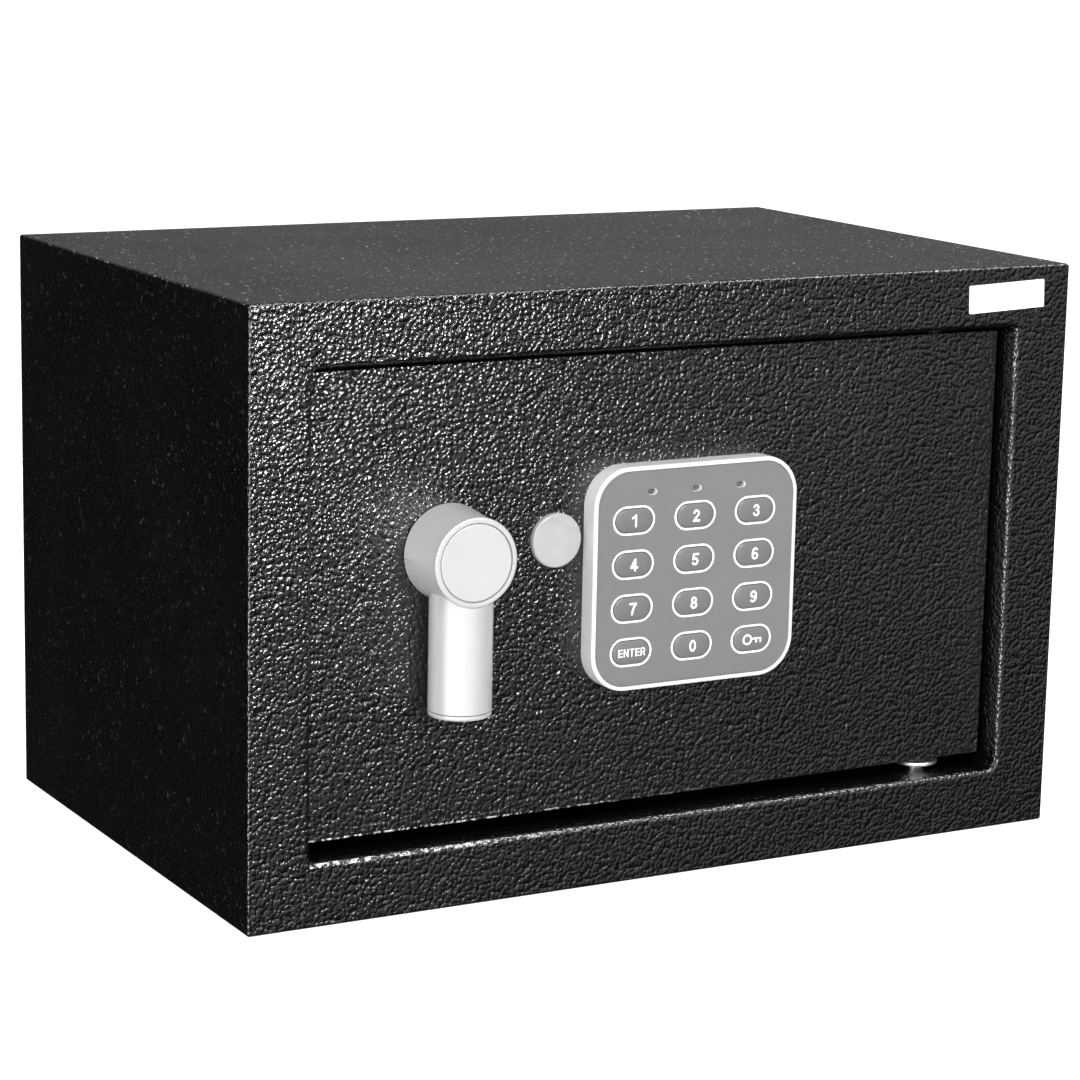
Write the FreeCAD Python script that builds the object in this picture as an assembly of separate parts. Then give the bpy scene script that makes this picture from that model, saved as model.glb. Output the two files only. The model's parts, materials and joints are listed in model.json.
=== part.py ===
import FreeCAD, Part
import math
import os

# Compact electronic security safe: steel box, recessed hinged door, keypad, lever handle,
# two throw bolts, solenoid blocker and an override key lock.
# Millimetres. X right, front faces -Y, Z up. Origin at the bottom centre of the steel box.

os.makedirs("parts", exist_ok=True)
V = FreeCAD.Vector

# ---- steel box -------------------------------------------------------------
BODY_W = 310.0
BODY_D = 200.0
BODY_H = 200.0
SHEET = 2.0
EDGE_R = 1.0
HX = BODY_W / 2.0
Y_FRONT = -BODY_D / 2.0
Y_BACK = BODY_D / 2.0
OPEN_X = 133.4
OPEN_Z0 = 21.0
OPEN_Z1 = 179.0
OPEN_CORNER_R = 2.8
LIP_SIDE = 12.0
LIP_FLOOR = 26.0
LIP_BEND_R = 1.8
ANCHOR_PITCH = 150.0
ANCHOR_R = 5.0
ANCHOR_BACK_Z = 100.0
MAT_T = 3.0
MAT_GAP = 1.0
MAT_HOLE_R = 13.0

# ---- door ------------------------------------------------------------------
DOOR_X0 = -131.4
DOOR_X1 = 131.5
DOOR_Z0 = 25.5
DOOR_Z1 = 177.1
DOOR_RECESS = 8.0
DOOR_T = 4.0
Y_DOOR = Y_FRONT + DOOR_RECESS
Y_DOOR_IN = Y_DOOR + DOOR_T
PIVOT_X = 110.0
PIVOT_Y = Y_FRONT + 16.2
PIN_R = 3.0
PIN_RUN = 0.05
COLLAR_R = 3.5
WASHER_R = 7.9
WASHER_T = 1.4
WASHER_Z = 22.7
TOP_WASHER_R = 5.0
BARREL_R = 6.5
BARREL_H = 16.5
WASHER_GAP = 0.2

# ---- inner cover of the door ----------------------------------------------
PAN_X0 = -128.0
PAN_X1 = 95.0
PAN_Z0 = 31.0
PAN_Z1 = 171.0
Y_PAN = -55.0
PAN_T = 1.2
PAN_R = 4.0
POST_R = 4.0
POST_XS = (-118.0, 88.0)
POST_ZS = (41.0, 161.0)
PAN_SCREW_R = 2.0
PAN_HEAD_R = 3.8

# ---- keypad ----------------------------------------------------------------
PAD_X = 6.9
PAD_Z = 102.9
PAD_W = 78.2
PAD_H = 75.0
PAD_R = 13.0
PAD_PROUD = 7.0
PAD_RIM = 1.4
PAD_FLOOR = 1.5
FACE_RECESS = 0.35
FACE_T = 1.5
FACE_GAP = 0.2
KEY_W = 14.0
KEY_H = 7.8
KEY_PITCH_X = 23.4
KEY_PITCH_Z = 14.73
KEY_TOP_Z = 122.5
KEY_GAP = 0.15
KEY_PROUD = 0.5
KEY_TRAVEL = 0.5
FLANGE_W = 15.3
FLANGE_H = 9.1
FLANGE_T = 0.6
LED_Z = 131.6
LED_X = 6.7
LED_PITCH = 17.1
LED_W = 3.6
LED_H = 2.0
LED_SUNK = 1.2
LED_GAP = 0.1
BOSS_DX = 11.7
BOSS_DZ = (-30.0, 31.0)
BOSS_R = 2.8
PAD_SCREW_R = 1.45
CABLE_HOLE_R = 6.0

# ---- handle ----------------------------------------------------------------
HND_X = -82.0
HND_Z = 116.4
HUB_BASE_R = 15.8
HUB_TIP_R = 14.2
HUB_GAP = 0.4
HUB_RIM_R = 14.6
HUB_RIM_T = 2.0
HUB_PROUD = 20.0
CAP_R = 12.5
CAP_RECESS_R = 12.9
CAP_T = 1.2
LEVER_R = 10.3
LEVER_BACK = 1.2
LEVER_END_Z = 65.0
LEVER_CAP_T = 2.0
SKIRT_BAND = 4.8
SKIRT_T = 1.6
SKIRT_SEAM = 0.18
CAP_SEAM = 0.3
SPINDLE_R = 4.0
SPINDLE_RUN = 0.06
BUSH_R = 5.95
CRANK_R = 15.0
CRANK_ANGLE = 30.0
CRANK_PIN_R = 2.5
CRANK_T = 3.0

# ---- bolt work -------------------------------------------------------------
BOLT_Y = -79.5
BOLT_R = 7.0
BOLT_RUN = 0.1
BOLT_ZS = (65.0, 137.0)
BOLT_TIP_X = -129.0
BOLT_TRAVEL = 15.0
CAR_X0 = -109.0
CAR_X1 = -66.0
CAR_Z0 = 52.0
CAR_Z1 = 150.0
CAR_T = 2.5
GUIDE_X = -97.0
GUIDE_ZS = (62.0, 140.0)
GUIDE_R = 3.0
GUIDE_RUN = 0.1
SLOT_W = 5.7

# ---- solenoid blocker ------------------------------------------------------
SOL_X = -42.0
SOL_Z0 = 56.0
SOL_Z1 = 86.0
SOL_HALF = 12.0
PLUNGER_R = 3.5
PLUNGER_TOP = 92.0
PLUNGER_COLLAR_R = 4.2
TAB_GAP = 0.4
PLUNGER_TRAVEL = 5.0
COIL_R = 6.8

# ---- override lock ---------------------------------------------------------
LOCK_X = -43.0
LOCK_Z = 117.0
LOCK_HOLE_R = 8.5
LOCK_BODY_R = 8.3
LOCK_PLUG_R = 5.9
COVER_R = 9.05
COVER_PROUD = 2.0

# ---- battery bay and electronics ------------------------------------------
BAT_X0 = 14.0
BAT_X1 = 82.0
BAT_Z0 = 38.0
BAT_Z1 = 100.0
BAT_Y = -74.0
BAT_WALL = 1.5
CELL_R = 7.05
CELL_L = 49.2
CELL_PITCH = 16.0
CELL_COUNT = 4
BOARD_X0 = 12.0
BOARD_X1 = 80.0
BOARD_Z0 = 106.0
BOARD_Z1 = 160.0
BOARD_Y = -74.0
BOARD_T = 1.6
RESET_X = 88.0
RESET_Z = 112.0


def save(name, shape):
    """Write one sub-part file; several loose solids stay separate solids."""
    shape.exportStep("parts/" + name + ".step")


def box(x0, x1, y0, y1, z0, z1):
    return Part.makeBox(x1 - x0, y1 - y0, z1 - z0, V(x0, y0, z0))


def rod_y(x, z, r, y0, y1):
    return Part.makeCylinder(r, y1 - y0, V(x, y0, z), V(0, 1, 0))


def rod_z(x, y, r, z0, z1):
    return Part.makeCylinder(r, z1 - z0, V(x, y, z0), V(0, 0, 1))


def rod_x(y, z, r, x0, x1):
    return Part.makeCylinder(r, x1 - x0, V(x0, y, z), V(1, 0, 0))


def cone_y(x, z, r0, r1, y0, y1):
    return Part.makeCone(r0, r1, y1 - y0, V(x, y0, z), V(0, 1, 0))


def round_box_y(xc, zc, w, h, r, y0, y1):
    """Rounded rectangle in XZ, extruded along Y."""
    a = w / 2.0
    b = h / 2.0
    s = box(xc - a, xc + a, y0, y1, zc - b, zc + b)
    edges = [e for e in s.Edges if is_along(e, V(0, 1, 0))]
    return s.makeFillet(r, edges)


def pill_y(xc, zc, w, h, y0, y1):
    """Stadium shape in XZ, longer along X, extruded along Y."""
    r = h / 2.0
    d = w / 2.0 - r
    s = box(xc - d, xc + d, y0, y1, zc - r, zc + r)
    s = s.fuse(rod_y(xc - d, zc, r, y0, y1))
    s = s.fuse(rod_y(xc + d, zc, r, y0, y1))
    return s.removeSplitter()


def is_along(edge, direction):
    if not isinstance(edge.Curve, (Part.Line, Part.LineSegment)):
        return False
    d = edge.tangentAt(edge.FirstParameter)
    return abs(abs(d.dot(direction)) - 1.0) < 1e-6


def edges_at_y(shape, y, tol=1e-4):
    """Edges lying wholly in one plane of constant Y."""
    found = []
    for e in shape.Edges:
        bb = e.BoundBox
        if abs(bb.YMin - y) < tol and abs(bb.YMax - y) < tol:
            found.append(e)
    return found


def ring_y(x, z, r_out, r_in, y0, y1):
    return rod_y(x, z, r_out, y0, y1).cut(rod_y(x, z, r_in, y0 - 1.0, y1 + 1.0))


def tube_path(points, r):
    """Round wire along straight legs with ball corners."""
    wire = None
    for p, q in zip(points[:-1], points[1:]):
        leg = Part.makeCylinder(r, (q - p).Length, p, q - p)
        wire = leg if wire is None else wire.fuse(leg)
    for p in points[1:-1]:
        wire = wire.fuse(Part.makeSphere(r, p))
    return wire


def coil_z(x, y, r, wire_r, z0, z1, turns):
    """Helical wire about Z between two heights."""
    low = z0 + wire_r
    height = z1 - z0 - 2.0 * wire_r
    helix = Part.makeHelix(height / turns, height, r)
    profile = Part.Wire([Part.makeCircle(wire_r, V(r, 0, 0), V(0, 1, 0))])
    sweep = Part.Wire(helix.Edges).makePipeShell([profile], True, True)
    sweep.translate(V(x, y, low))
    return sweep


# ---- fixed box -------------------------------------------------------------

def body_shell():
    y0 = Y_FRONT + SHEET
    y1 = Y_BACK - SHEET
    outer = box(-HX, HX, y0, y1, 0.0, BODY_H)
    outer = outer.makeFillet(EDGE_R, [e for e in outer.Edges if is_along(e, V(0, 1, 0))])
    inner = box(-HX + SHEET, HX - SHEET, y0 - 1, y1 + 1, SHEET, BODY_H - SHEET)
    s = outer.cut(inner)
    for side in (-1, 1):
        s = s.cut(rod_z(side * ANCHOR_PITCH / 2.0, 0.0, ANCHOR_R, -1.0, SHEET + 1.0))
    return s


def front_frame():
    plate = box(-HX, HX, Y_FRONT, Y_FRONT + SHEET, 0.0, BODY_H)
    plate = plate.makeFillet(EDGE_R, [e for e in plate.Edges if is_along(e, V(0, 1, 0))])
    plate = plate.makeFillet(EDGE_R * 0.8, edges_at_y(plate, Y_FRONT))
    w = 2.0 * OPEN_X
    h = OPEN_Z1 - OPEN_Z0
    zc = (OPEN_Z1 + OPEN_Z0) / 2.0
    y_deep = Y_FRONT + LIP_FLOOR
    lip = round_box_y(0.0, zc, w + 2 * SHEET, h + 2 * SHEET, OPEN_CORNER_R + SHEET, Y_FRONT + 0.5, y_deep)
    side = OPEN_X - OPEN_CORNER_R
    for s in (-1, 1):
        xa = min(s * side, s * (side + 20.0))
        lip = lip.cut(box(xa, xa + 20.0, Y_FRONT + LIP_SIDE, y_deep + 1.0, 0.0, BODY_H))
    hole = round_box_y(0.0, zc, w, h, OPEN_CORNER_R, Y_FRONT - 5.0, y_deep + 5.0)
    s = plate.fuse(lip).cut(hole).removeSplitter()
    mouth = []
    for e in edges_at_y(s, Y_FRONT):
        bb = e.BoundBox
        if bb.XMin > -OPEN_X - 0.01 and bb.XMax < OPEN_X + 0.01:
            mouth.append(e)
    s = s.makeFillet(LIP_BEND_R, mouth)
    for z0 in (OPEN_Z0 - SHEET, OPEN_Z1):
        s = s.cut(rod_z(PIVOT_X, PIVOT_Y, PIN_R + PIN_RUN, z0 - 0.5, z0 + SHEET + 0.5))
    return s


def back_panel():
    s = box(-HX, HX, Y_BACK - SHEET, Y_BACK, 0.0, BODY_H)
    s = s.makeFillet(EDGE_R, [e for e in s.Edges if is_along(e, V(0, 1, 0))])
    s = s.makeFillet(EDGE_R * 0.8, edges_at_y(s, Y_BACK))
    for side in (-1, 1):
        x = side * ANCHOR_PITCH / 2.0
        s = s.cut(rod_y(x, ANCHOR_BACK_Z, ANCHOR_R, Y_BACK - SHEET - 1.0, Y_BACK + 1.0))
    return s


def carpet_mat():
    x = HX - SHEET - MAT_GAP
    s = box(-x, x, Y_FRONT + SHEET + MAT_GAP, Y_BACK - SHEET - MAT_GAP, SHEET, SHEET + MAT_T)
    for side in (-1, 1):
        s = s.cut(rod_z(side * ANCHOR_PITCH / 2.0, 0.0, MAT_HOLE_R, 0.0, SHEET + MAT_T + 1.0))
    return s


def badge():
    """Thin plain label, stuck on slightly askew."""
    s = round_box_y(128.4, 189.8, 31.4, 9.6, 0.4, Y_FRONT - 0.4, Y_FRONT)
    s.rotate(V(128.4, Y_FRONT, 189.8), V(0, 1, 0), -2.2)
    return s


def hinge_pins():
    """Riveted pivots: one stands up from the lower lip, one hangs from the upper lip."""
    x = PIVOT_X
    y = PIVOT_Y
    low = rod_z(x, y, 5.0, OPEN_Z0 - SHEET - 1.5, OPEN_Z0 - SHEET)
    low = low.fuse(rod_z(x, y, PIN_R, OPEN_Z0 - SHEET, DOOR_Z0 + BARREL_H - 1.0))
    low = low.fuse(rod_z(x, y, COLLAR_R, OPEN_Z0, WASHER_Z))
    low = low.removeSplitter()
    top = rod_z(x, y, 5.0, OPEN_Z1 + SHEET, OPEN_Z1 + SHEET + 1.5)
    top = top.fuse(rod_z(x, y, PIN_R, DOOR_Z1 - BARREL_H + 1.0, OPEN_Z1 + SHEET))
    z_wash = DOOR_Z1 + WASHER_GAP + WASHER_T
    top = top.fuse(rod_z(x, y, COLLAR_R, z_wash, OPEN_Z1))
    top = top.removeSplitter()
    return Part.makeCompound([low, top])


def hinge_washers():
    out = []
    for z0, r in ((WASHER_Z, WASHER_R), (DOOR_Z1 + WASHER_GAP, TOP_WASHER_R)):
        w = rod_z(PIVOT_X, PIVOT_Y, r, z0, z0 + WASHER_T)
        w = w.makeFillet(0.35, [e for e in w.Edges if isinstance(e.Curve, Part.Circle)])
        out.append(w.cut(rod_z(PIVOT_X, PIVOT_Y, PIN_R + 0.1, z0 - 1, z0 + WASHER_T + 1)))
    return Part.makeCompound(out)


# ---- door leaf -------------------------------------------------------------

def pad_bosses():
    return [(PAD_X + sx * BOSS_DX, PAD_Z + dz) for sx in (-1, 1) for dz in BOSS_DZ]


def door_plate():
    s = box(DOOR_X0, DOOR_X1, Y_DOOR, Y_DOOR_IN, DOOR_Z0, DOOR_Z1)
    s = s.makeFillet(1.2, [e for e in s.Edges if is_along(e, V(0, 1, 0))])
    s = s.makeFillet(0.6, edges_at_y(s, Y_DOOR))
    a = Y_DOOR - 1.0
    b = Y_DOOR_IN + 1.0
    s = s.cut(rod_y(HND_X, HND_Z, BUSH_R + 0.05, a, b))
    s = s.cut(rod_y(LOCK_X, LOCK_Z, LOCK_HOLE_R, a, b))
    s = s.cut(rod_y(PAD_X, PAD_Z, CABLE_HOLE_R, a, b))
    for x, z in pad_bosses():
        s = s.cut(rod_y(x, z, PAD_SCREW_R + 0.25, a, b))
    return s


def hinge_barrels():
    out = []
    for z0, z1 in ((WASHER_Z + WASHER_T + WASHER_GAP, DOOR_Z0 + BARREL_H), (DOOR_Z1 - BARREL_H, DOOR_Z1)):
        b = rod_z(PIVOT_X, PIVOT_Y, BARREL_R, z0, z1)
        b = b.fuse(box(PIVOT_X - BARREL_R, PIVOT_X + BARREL_R, Y_DOOR_IN, PIVOT_Y, z0, z1))
        b = b.cut(box(PIVOT_X - 20, PIVOT_X + 20, Y_DOOR - 5.0, Y_DOOR_IN, z0 - 1, z1 + 1))
        b = b.cut(rod_z(PIVOT_X, PIVOT_Y, PIN_R + PIN_RUN, z0 - 1, z1 + 1))
        out.append(b.removeSplitter())
    return Part.makeCompound(out)


def post_places():
    return [(x, z) for x in POST_XS for z in POST_ZS]


def battery_window():
    return (BAT_X0 + 2.0, BAT_X1 - 2.0, BAT_Z0 + 2.0, BAT_Z1 - 2.0)


def door_pan():
    """Folded cover over the lock work, open towards the door plate."""
    s = box(PAN_X0, PAN_X1, Y_DOOR_IN, Y_PAN, PAN_Z0, PAN_Z1)
    s = s.makeFillet(PAN_R, [e for e in s.Edges if is_along(e, V(0, 1, 0))])
    s = s.makeFillet(1.5, edges_at_y(s, Y_PAN))
    t = PAN_T
    inner = box(PAN_X0 + t, PAN_X1 - t, Y_DOOR_IN - 1, Y_PAN - t, PAN_Z0 + t, PAN_Z1 - t)
    inner = inner.makeFillet(PAN_R - t, [e for e in inner.Edges if is_along(e, V(0, 1, 0))])
    s = s.cut(inner)
    for z in BOLT_ZS:
        s = s.cut(rod_x(BOLT_Y, z, BOLT_R + BOLT_RUN, PAN_X0 - 1, PAN_X0 + t + 1))
    for x, z in post_places():
        s = s.cut(rod_y(x, z, PAN_SCREW_R + 0.25, Y_PAN - t - 1, Y_PAN + 1))
    x0, x1, z0, z1 = battery_window()
    s = s.cut(box(x0, x1, Y_PAN - t - 1, Y_PAN + 1, z0, z1))
    s = s.cut(rod_y(RESET_X, RESET_Z, 3.3, Y_PAN - t - 1, Y_PAN + 1))
    return s


def standoffs():
    """Welded posts that carry the cover and the control board."""
    out = []
    for x, z in post_places():
        p = rod_y(x, z, POST_R, Y_DOOR_IN, Y_PAN - PAN_T)
        p = p.cut(rod_y(x, z, PAN_SCREW_R + 0.02, Y_PAN - PAN_T - 8.0, Y_PAN))
        out.append(p)
    for x in (BOARD_X0 + 4.0, BOARD_X1 - 4.0):
        for z in (BOARD_Z0 + 4.0, BOARD_Z1 - 4.0):
            out.append(rod_y(x, z, 2.5, Y_DOOR_IN, BOARD_Y))
    return Part.makeCompound(out)


def pan_screws():
    out = []
    for x, z in post_places():
        s = rod_y(x, z, PAN_HEAD_R, Y_PAN, Y_PAN + 2.2)
        s = s.makeFillet(1.2, edges_at_y(s, Y_PAN + 2.2))
        s = s.fuse(rod_y(x, z, PAN_SCREW_R, Y_PAN - PAN_T - 7.0, Y_PAN))
        for w, h in ((4.4, 0.9), (0.9, 4.4)):
            s = s.cut(box(x - w / 2, x + w / 2, Y_PAN + 1.0, Y_PAN + 3.0, z - h / 2, z + h / 2))
        out.append(s)
    return Part.makeCompound(out)


def spindle_bush():
    s = rod_y(HND_X, HND_Z, BUSH_R, Y_DOOR, Y_DOOR_IN)
    s = s.fuse(rod_y(HND_X, HND_Z, 9.0, Y_DOOR_IN, Y_DOOR_IN + 1.4))
    return s.cut(rod_y(HND_X, HND_Z, SPINDLE_R + SPINDLE_RUN, Y_DOOR - 1, Y_DOOR_IN + 3)).removeSplitter()


def carriage_guides():
    """Shouldered studs that hold the bolt carriage and let it slide sideways."""
    y_front = BOLT_Y - CAR_T / 2.0 - 0.25
    y_back = BOLT_Y + CAR_T / 2.0 + 0.25
    out = []
    for z in GUIDE_ZS:
        s = rod_y(GUIDE_X, z, 5.0, Y_DOOR_IN, y_front)
        s = s.fuse(rod_y(GUIDE_X, z, GUIDE_R, y_front, y_back))
        s = s.fuse(rod_y(GUIDE_X, z, 5.0, y_back, y_back + 1.8))
        s = s.removeSplitter()
        s = s.cut(box(GUIDE_X - 3.5, GUIDE_X + 3.5, y_back + 1.0, y_back + 3.0, z - 0.5, z + 0.5))
        out.append(s)
    return Part.makeCompound(out)


# ---- keypad ----------------------------------------------------------------

def keypad_bezel():
    y1 = Y_DOOR
    y0 = Y_DOOR - PAD_PROUD
    outer = round_box_y(PAD_X, PAD_Z, PAD_W, PAD_H, PAD_R, y0, y1)
    outer = outer.makeFillet(0.5, edges_at_y(outer, y0))
    w = PAD_W - 2 * PAD_RIM
    h = PAD_H - 2 * PAD_RIM
    inner = round_box_y(PAD_X, PAD_Z, w, h, PAD_R - PAD_RIM, y0 - 1, y1 - PAD_FLOOR)
    s = outer.cut(inner)
    s = s.cut(rod_y(PAD_X, PAD_Z, CABLE_HOLE_R, y0, y1 + 1))
    y_face_back = y0 + FACE_RECESS + FACE_T
    for x, z in pad_bosses():
        s = s.fuse(rod_y(x, z, BOSS_R, y_face_back, y1 - PAD_FLOOR))
        s = s.cut(rod_y(x, z, PAD_SCREW_R + 0.03, y_face_back + 0.6, y1 + 1))
    return s.removeSplitter()


def key_centres():
    xs = [PAD_X + (i - 1) * KEY_PITCH_X - 0.6 for i in range(3)]
    zs = [KEY_TOP_Z - j * KEY_PITCH_Z for j in range(4)]
    return [(x, z) for z in zs for x in xs]


def led_centres():
    return [(LED_X + (i - 1) * LED_PITCH, LED_Z) for i in range(3)]


def keypad_face():
    y0 = Y_DOOR - PAD_PROUD + FACE_RECESS
    w = PAD_W - 2 * PAD_RIM - 2 * FACE_GAP
    h = PAD_H - 2 * PAD_RIM - 2 * FACE_GAP
    s = round_box_y(PAD_X, PAD_Z, w, h, PAD_R - PAD_RIM - FACE_GAP, y0, y0 + FACE_T)
    for x, z in key_centres():
        s = s.cut(pill_y(x, z, KEY_W + 2 * KEY_GAP, KEY_H + 2 * KEY_GAP, y0 - 1, y0 + FACE_T + 1))
    for x, z in led_centres():
        s = s.cut(pill_y(x, z, LED_W + 2 * LED_GAP, LED_H + 2 * LED_GAP, y0 - 1, y0 + FACE_T + 1))
    return s


def key_cap(x, z):
    y_front = Y_DOOR - PAD_PROUD + FACE_RECESS - KEY_PROUD
    y_flange = Y_DOOR - PAD_PROUD + FACE_RECESS + FACE_T + 0.1
    s = pill_y(x, z, KEY_W, KEY_H, y_front, y_flange)
    s = s.makeFillet(0.4, edges_at_y(s, y_front))
    s = s.fuse(pill_y(x, z, FLANGE_W, FLANGE_H, y_flange, y_flange + FLANGE_T))
    return s


def led_lenses():
    y0 = Y_DOOR - PAD_PROUD + FACE_RECESS + LED_SUNK
    out = []
    for x, z in led_centres():
        s = pill_y(x, z, LED_W, LED_H, y0, Y_DOOR - PAD_FLOOR - 0.5 - 1.2)
        s = s.makeFillet(0.5, edges_at_y(s, y0))
        out.append(s)
    return Part.makeCompound(out)


def pad_layer(w, h, r, y0, y1):
    """Flat layer inside the keypad, cleared around the screw bosses."""
    s = round_box_y(PAD_X, PAD_Z, w, h, r, y0, y1)
    for x, z in pad_bosses():
        s = s.cut(rod_y(x, z, BOSS_R + 0.3, y0 - 1, y1 + 1))
    return s


def key_mat():
    y1 = Y_DOOR - PAD_FLOOR - 0.5 - 1.2
    s = pad_layer(70.0, 67.0, 9.0, y1 - 0.4, y1)
    for x, z in led_centres():
        s = s.cut(pill_y(x, z, LED_W + 0.6, LED_H + 0.6, y1 - 2, y1 + 1))
    return s


def keypad_pcb():
    y1 = Y_DOOR - PAD_FLOOR - 0.5
    s = pad_layer(70.0, 67.0, 9.0, y1 - 1.2, y1)
    for sx in (-1, 1):
        for sz in (-1, 1):
            s = s.fuse(rod_y(PAD_X + sx * 29.0, PAD_Z + sz * 27.0, 1.5, y1, y1 + 0.5))
    return s


def keypad_screws():
    out = []
    for x, z in pad_bosses():
        s = rod_y(x, z, 2.9, Y_DOOR_IN, Y_DOOR_IN + 1.8)
        s = s.makeFillet(0.8, edges_at_y(s, Y_DOOR_IN + 1.8))
        s = s.fuse(rod_y(x, z, PAD_SCREW_R, Y_DOOR - PAD_FLOOR - 2.0, Y_DOOR_IN))
        for w, h in ((3.2, 0.7), (0.7, 3.2)):
            s = s.cut(box(x - w / 2, x + w / 2, Y_DOOR_IN + 0.9, Y_DOOR_IN + 3, z - h / 2, z + h / 2))
        out.append(s)
    return Part.makeCompound(out)


# ---- handle ----------------------------------------------------------------

def hub_envelope(grow=0.0):
    y_tip = Y_DOOR - HUB_PROUD
    y_rim = y_tip + HUB_RIM_T
    cone = cone_y(HND_X, HND_Z, HUB_TIP_R + grow, HUB_BASE_R + grow, y_rim, Y_DOOR - HUB_GAP)
    rim = rod_y(HND_X, HND_Z, HUB_RIM_R + grow, y_tip, y_rim)
    return cone, rim


def skirt_zone(grow):
    y_edge = Y_DOOR - HUB_GAP - SKIRT_BAND - grow
    z_edge = HND_Z - 1.0 + grow
    zone = box(HND_X - 30, HND_X + 30, y_edge, Y_DOOR + 1.0, HND_Z - 30, z_edge)
    corner = [e for e in zone.Edges if is_along(e, V(1, 0, 0))
              and abs(e.BoundBox.YMin - y_edge) < 0.01 and abs(e.BoundBox.ZMin - z_edge) < 0.01]
    zone = zone.makeFillet(1.4, corner)
    inner_r0 = HUB_TIP_R - SKIRT_T - grow
    inner_r1 = HUB_BASE_R - SKIRT_T - grow
    core = cone_y(HND_X, HND_Z, inner_r0, inner_r1, Y_DOOR - HUB_PROUD, Y_DOOR + 1.5)
    return zone.cut(core)


def handle_hub():
    cone, rim = hub_envelope()
    y_tip = Y_DOOR - HUB_PROUD
    rim = rim.makeFillet(0.7, [e for e in rim.Edges if isinstance(e.Curve, Part.Circle)])
    s = cone.fuse(rim)
    s = s.cut(rod_y(HND_X, HND_Z, CAP_RECESS_R, y_tip - 1, y_tip + CAP_T))
    s = s.cut(rod_y(HND_X, HND_Z, SPINDLE_R + 0.02, y_tip + 5.0, Y_DOOR + 1))
    return s.cut(skirt_zone(SKIRT_SEAM)).removeSplitter()


def handle_skirt():
    cone, rim = hub_envelope()
    return cone.common(skirt_zone(0.0))


def handle_cap():
    y_tip = Y_DOOR - HUB_PROUD
    s = rod_y(HND_X, HND_Z, CAP_R, y_tip + 0.1, y_tip + CAP_T)
    return s.makeFillet(0.35, edges_at_y(s, y_tip + 0.1))


def lever_bar(z0, z1):
    y_axis = Y_DOOR - HUB_PROUD + LEVER_R
    s = rod_z(HND_X, y_axis, LEVER_R, z0, z1)
    return s.cut(box(HND_X - 20, HND_X + 20, Y_DOOR - LEVER_BACK, Y_DOOR + 10, z0 - 1, z1 + 1))


def handle_lever():
    cone, rim = hub_envelope(0.0)
    y_axis = Y_DOOR - HUB_PROUD + LEVER_R
    s = lever_bar(LEVER_END_Z + LEVER_CAP_T, HND_Z - 6.0)
    s = s.cut(cone).cut(rim)
    s = s.cut(rod_z(HND_X, y_axis - 1.0, 5.0, LEVER_END_Z, LEVER_END_Z + LEVER_CAP_T + 9.0))
    return s


def lever_end_cap():
    y_axis = Y_DOOR - HUB_PROUD + LEVER_R
    z1 = LEVER_END_Z + LEVER_CAP_T
    s = lever_bar(LEVER_END_Z, z1 - CAP_SEAM)
    low = [e for e in s.Edges if abs(e.BoundBox.ZMax - LEVER_END_Z) < 1e-4]
    s = s.makeFillet(0.9, low)
    return s.fuse(rod_z(HND_X, y_axis - 1.0, 4.9, z1 - CAP_SEAM, z1 + 8.0)).removeSplitter()


def spindle():
    y0 = Y_DOOR - HUB_PROUD + 5.5
    s = rod_y(HND_X, HND_Z, SPINDLE_R, y0, -81.8)
    flat = box(HND_X + 3.2, HND_X + 6.0, -86.2, -81.0, HND_Z - 6, HND_Z + 6)
    s = s.cut(flat)
    groove = ring_y(HND_X, HND_Z, SPINDLE_R + 1.0, 3.0, -83.2, -82.3)
    return s.cut(groove)


def spindle_clip():
    s = ring_y(HND_X, HND_Z, 6.6, 3.05, -83.15, -82.35)
    return s.cut(box(HND_X - 2.2, HND_X + 2.2, -84, -81, HND_Z, HND_Z + 8.0))


def crank_pin_centre():
    a = math.radians(CRANK_ANGLE)
    return HND_X + CRANK_R * math.sin(a), HND_Z - CRANK_R * math.cos(a)


def crank():
    y0 = -86.2
    y1 = y0 + CRANK_T
    px, pz = crank_pin_centre()
    s = rod_y(HND_X, HND_Z, 8.0, y0, y1).fuse(rod_y(px, pz, 4.0, y0, y1))
    arm = box(-4.0, 4.0, y0, y1, -CRANK_R, 0.0)
    arm.rotate(V(0, 0, 0), V(0, 1, 0), -CRANK_ANGLE)
    arm.translate(V(HND_X, 0, HND_Z))
    s = s.fuse(arm)
    bore = rod_y(HND_X, HND_Z, SPINDLE_R + 0.02, y0 - 1, y1 + 1)
    bore = bore.cut(box(HND_X + 3.22, HND_X + 6, y0 - 2, y1 + 2, HND_Z - 6, HND_Z + 6))
    s = s.cut(bore)
    return s.fuse(rod_y(px, pz, CRANK_PIN_R, y1, BOLT_Y + CAR_T / 2.0 + 1.0)).removeSplitter()


# ---- bolt work -------------------------------------------------------------

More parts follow.
